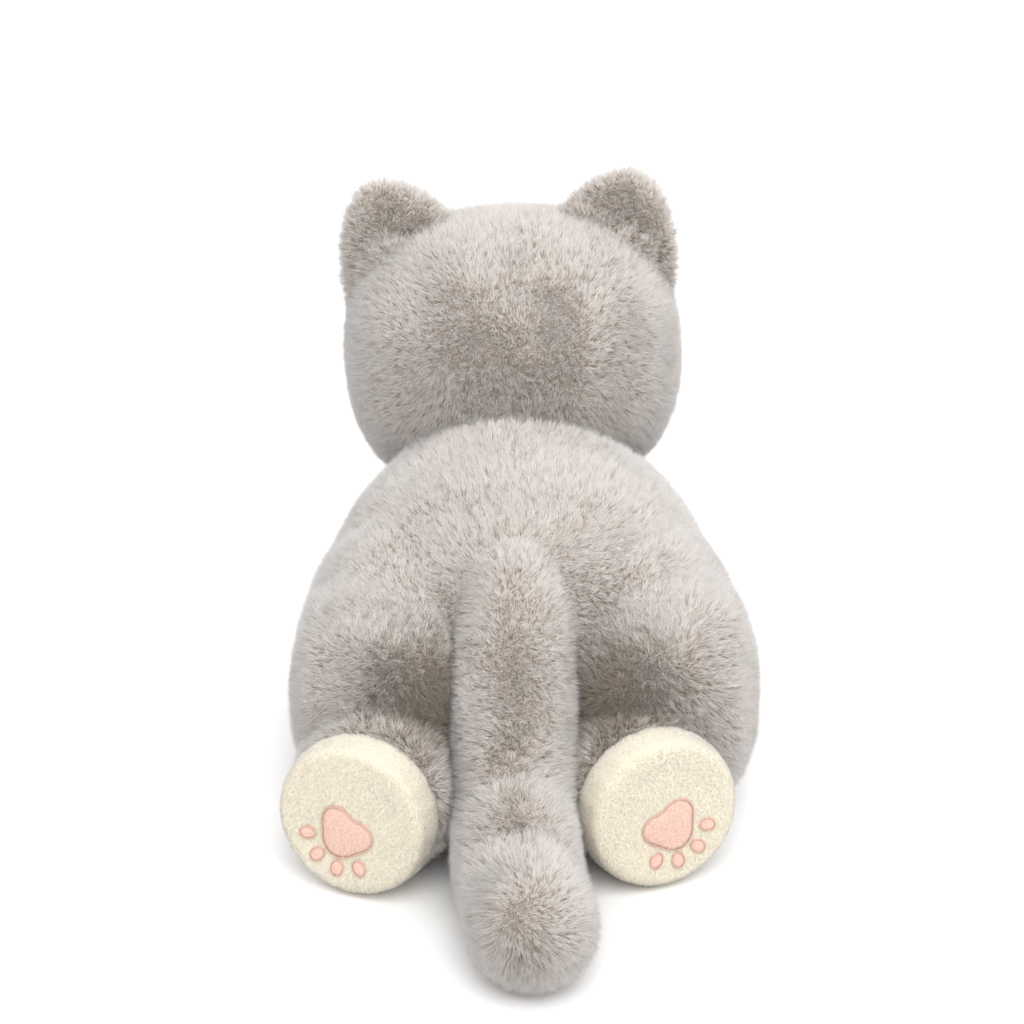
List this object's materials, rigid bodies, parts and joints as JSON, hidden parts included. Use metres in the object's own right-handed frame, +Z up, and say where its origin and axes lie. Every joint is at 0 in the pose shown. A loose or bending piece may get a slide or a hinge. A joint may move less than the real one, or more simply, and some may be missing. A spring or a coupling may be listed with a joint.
{
  "type": "plush cat",
  "caption": "Soft toy cat lying on its belly with raised head, grey fur, cream feet with pink pads, and a long tail along the floor.",
  "frame": {"origin": "on the floor under the middle of the body, between the front and hind legs", "axes": "+Z up, -Y the way the cat faces, +Y towards the tail, +X the cat's own left"},
  "size_m": [0.2379, 0.4724, 0.287],
  "materials": {
    "grey_fur": "long pile fake fur",
    "cream_minky": "short velvety pile",
    "foot_pads": "short velvety pile, stitched edge",
    "ear_lining": "short velvety pile",
    "stuffing": "polyester fibre",
    "eyes": "glossy",
    "nose_plastic": "satin",
    "washers": "satin"
  },
  "bodies": {
    "body": {"body_side_panel_left": "grey_fur", "body_side_panel_right": "grey_fur", "belly_panel": "grey_fur", "body_stuffing": "stuffing"},
    "neck": {"neck_stuffing": "stuffing"},
    "head": {"head_gusset": "grey_fur", "head_side_panel_left": "grey_fur", "head_side_panel_right": "grey_fur", "head_stuffing": "stuffing", "muzzle_panel": "cream_minky", "muzzle_stuffing": "stuffing", "eye_left": "eyes", "eye_right": "eyes", "eye_left_washer": "washers", "eye_right_washer": "washers", "nose": "nose_plastic", "nose_washer": "washers"},
    "ear_left": {"ear_back_left": "grey_fur", "ear_lining_left": "ear_lining"},
    "ear_right": {"ear_back_right": "grey_fur", "ear_lining_right": "ear_lining"},
    "foreleg_left": {"foreleg_skin_left": "grey_fur", "foreleg_stuffing_left": "stuffing", "front_paw_cap_left": "cream_minky"},
    "foreleg_right": {"foreleg_skin_right": "grey_fur", "foreleg_stuffing_right": "stuffing", "front_paw_cap_right": "cream_minky"},
    "hind_leg_left": {"hind_leg_skin_left": "grey_fur", "hind_leg_stuffing_left": "stuffing", "hind_foot_cap_left": "cream_minky", "hind_sole_left": "cream_minky", "hind_main_pad_left": "foot_pads", "hind_toe_pad_left_1": "foot_pads", "hind_toe_pad_left_2": "foot_pads", "hind_toe_pad_left_3": "foot_pads", "hind_toe_pad_left_4": "foot_pads"},
    "hind_leg_right": {"hind_leg_skin_right": "grey_fur", "hind_leg_stuffing_right": "stuffing", "hind_foot_cap_right": "cream_minky", "hind_sole_right": "cream_minky", "hind_main_pad_right": "foot_pads", "hind_toe_pad_right_1": "foot_pads", "hind_toe_pad_right_2": "foot_pads", "hind_toe_pad_right_3": "foot_pads", "hind_toe_pad_right_4": "foot_pads"},
    "tail_base": {"tail_base_skin": "grey_fur", "tail_base_stuffing": "stuffing"},
    "tail_tip": {"tail_tip_skin": "grey_fur", "tail_tip_stuffing": "stuffing"}
  },
  "joints": [
    {"name": "neck_turn", "type": "hinge", "parent": "body", "child": "neck", "pos_m": [0.001, -0.098, 0.158], "axis": [0, 0, 1], "range_deg": [-20, 20], "stiffness_Nm_per_rad": 0.25},
    {"name": "head_nod", "type": "hinge", "parent": "neck", "child": "head", "pos_m": [0.001, -0.098, 0.158], "axis": [1, 0, 0], "range_deg": [-10, 12], "stiffness_Nm_per_rad": 0.8},
    {"name": "ear_fold_left", "type": "hinge", "parent": "head", "child": "ear_left", "pos_m": [0.05992, -0.134, 0.23268], "axis": [0.9225, 0, -0.3859], "range_deg": [-12, 12], "stiffness_Nm_per_rad": 0.03},
    {"name": "ear_fold_right", "type": "hinge", "parent": "head", "child": "ear_right", "pos_m": [-0.0528, -0.134, 0.23799], "axis": [0.9548, 0, 0.2974], "range_deg": [-12, 12], "stiffness_Nm_per_rad": 0.03},
    {"name": "foreleg_lift_left", "type": "hinge", "parent": "body", "child": "foreleg_left", "pos_m": [0.063, -0.062, 0.056], "axis": [-1, 0, 0], "range_deg": [0, 20], "stiffness_Nm_per_rad": 0.15},
    {"name": "foreleg_lift_right", "type": "hinge", "parent": "body", "child": "foreleg_right", "pos_m": [-0.057, -0.062, 0.056], "axis": [-1, 0, 0], "range_deg": [0, 20], "stiffness_Nm_per_rad": 0.15},
    {"name": "hind_leg_lift_left", "type": "hinge", "parent": "body", "child": "hind_leg_left", "pos_m": [0.066, 0.052, 0.0625], "axis": [1, 0, 0], "range_deg": [0, 20], "stiffness_Nm_per_rad": 0.2},
    {"name": "hind_leg_lift_right", "type": "hinge", "parent": "body", "child": "hind_leg_right", "pos_m": [-0.074, 0.052, 0.0625], "axis": [1, 0, 0], "range_deg": [0, 20], "stiffness_Nm_per_rad": 0.2},
    {"name": "tail_lift", "type": "hinge", "parent": "body", "child": "tail_base", "pos_m": [0, 0.055, 0.12], "axis": [1, 0, 0], "range_deg": [0, 45], "stiffness_Nm_per_rad": 0.1},
    {"name": "tail_sway", "type": "hinge", "parent": "tail_base", "child": "tail_tip", "pos_m": [0, 0.165, 0.03], "axis": [0, 0, 1], "range_deg": [-20, 20], "stiffness_Nm_per_rad": 0.03}
  ]
}
